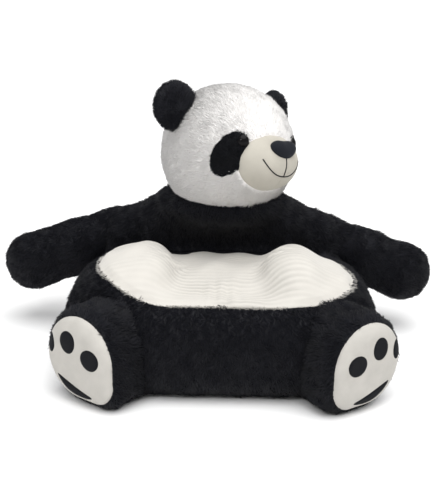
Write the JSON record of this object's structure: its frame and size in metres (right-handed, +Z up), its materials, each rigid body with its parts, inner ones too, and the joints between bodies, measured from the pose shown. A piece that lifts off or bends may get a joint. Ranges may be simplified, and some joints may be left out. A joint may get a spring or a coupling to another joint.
{
  "type": "plush panda armchair",
  "caption": "Low stuffed toddler seat shaped as a sitting panda, with a ribbed pale seat, armrest lobes, outstretched arms, pale soles and a head turned to one side.",
  "frame": {"origin": "on the floor under the middle of the seat, on the underside", "axes": "+Z up, the seat opens towards -Y, +X towards the toy's own left hand"},
  "size_m": [0.7806, 0.4756, 0.469],
  "materials": {
    "black_plush": "long soft pile",
    "white_plush": "soft clumped pile",
    "ribbed_plush": "cut pile in narrow ribs",
    "cream_velvet": "short velvet",
    "sole_velvet": "short velvet",
    "black_velvet": "short velvet",
    "black_cloth": "plain woven cloth",
    "black_thread": "satin stitch",
    "nose_plush": "short velvet over a firm pad",
    "black_plastic": "polished",
    "washer_plastic": "moulded",
    "filling": "polyester fibre"
  },
  "bodies": {
    "torso": {"base_cover": "black_plush", "seat_panel": "ribbed_plush", "seat_stuffing": "filling", "bottom_cloth": "black_cloth", "back_cover": "black_plush", "back_stuffing": "filling", "left_foot_cover": "black_plush", "left_foot_stuffing": "filling", "left_sole_panel": "sole_velvet", "left_toe_pad_inner": "black_velvet", "left_toe_pad_middle": "black_velvet", "left_toe_pad_outer": "black_velvet", "left_heel_pad": "black_velvet", "right_foot_cover": "black_plush", "right_foot_stuffing": "filling", "right_sole_panel": "sole_velvet", "right_toe_pad_inner": "black_velvet", "right_toe_pad_middle": "black_velvet", "right_toe_pad_outer": "black_velvet", "right_heel_pad": "black_velvet"},
    "neck": {"neck_stuffing": "filling"},
    "head": {"head_cover": "white_plush", "head_stuffing": "filling", "muzzle_cover": "cream_velvet", "muzzle_stuffing": "filling", "nose": "nose_plush", "mouth_stitches": "black_thread", "left_eye_patch": "black_velvet", "left_eye": "black_plastic", "left_eye_washer": "washer_plastic", "right_eye_patch": "black_velvet", "right_eye": "black_plastic", "right_eye_washer": "washer_plastic"},
    "left_ear": {"left_ear_cover": "black_plush", "left_ear_stuffing": "filling"},
    "left_shoulder": {"left_shoulder_stuffing": "filling"},
    "left_arm": {"left_arm_cover": "black_plush", "left_arm_stuffing": "filling"},
    "right_ear": {"right_ear_cover": "black_plush", "right_ear_stuffing": "filling"},
    "right_shoulder": {"right_shoulder_stuffing": "filling"},
    "right_arm": {"right_arm_cover": "black_plush", "right_arm_stuffing": "filling"}
  },
  "joints": [
    {"name": "head_turn", "type": "hinge", "parent": "torso", "child": "neck", "pos_m": [0.007, 0.126, 0.272], "axis": [0, 0, 1], "range_deg": [-25, 25]},
    {"name": "head_nod", "type": "hinge", "parent": "neck", "child": "head", "pos_m": [0.007, 0.126, 0.272], "axis": [0.7431, 0.6691, 0], "range_deg": [-10, 12]},
    {"name": "left_ear_fold", "type": "hinge", "parent": "head", "child": "left_ear", "pos_m": [0.07883, 0.19746, 0.38918], "axis": [0.2663, 0.2398, -0.9336], "range_deg": [-15, 15], "stiffness_Nm_per_rad": 0.03},
    {"name": "left_arm_raise", "type": "hinge", "parent": "torso", "child": "left_shoulder", "pos_m": [0.19, 0.168, 0.181], "axis": [0, -1, 0], "range_deg": [-3, 30]},
    {"name": "left_arm_swing", "type": "hinge", "parent": "left_shoulder", "child": "left_arm", "pos_m": [0.19, 0.168, 0.181], "axis": [0, 0, -1], "range_deg": [-15, 7]},
    {"name": "right_ear_fold", "type": "hinge", "parent": "head", "child": "right_ear", "pos_m": [-0.07436, 0.05952, 0.42183], "axis": [0.4677, 0.4211, 0.7771], "range_deg": [-15, 15], "stiffness_Nm_per_rad": 0.03},
    {"name": "right_arm_raise", "type": "hinge", "parent": "torso", "child": "right_shoulder", "pos_m": [-0.19, 0.168, 0.181], "axis": [0, 1, 0], "range_deg": [-3, 30]},
    {"name": "right_arm_swing", "type": "hinge", "parent": "right_shoulder", "child": "right_arm", "pos_m": [-0.19, 0.168, 0.181], "axis": [0, 0, 1], "range_deg": [-15, 7]}
  ]
}
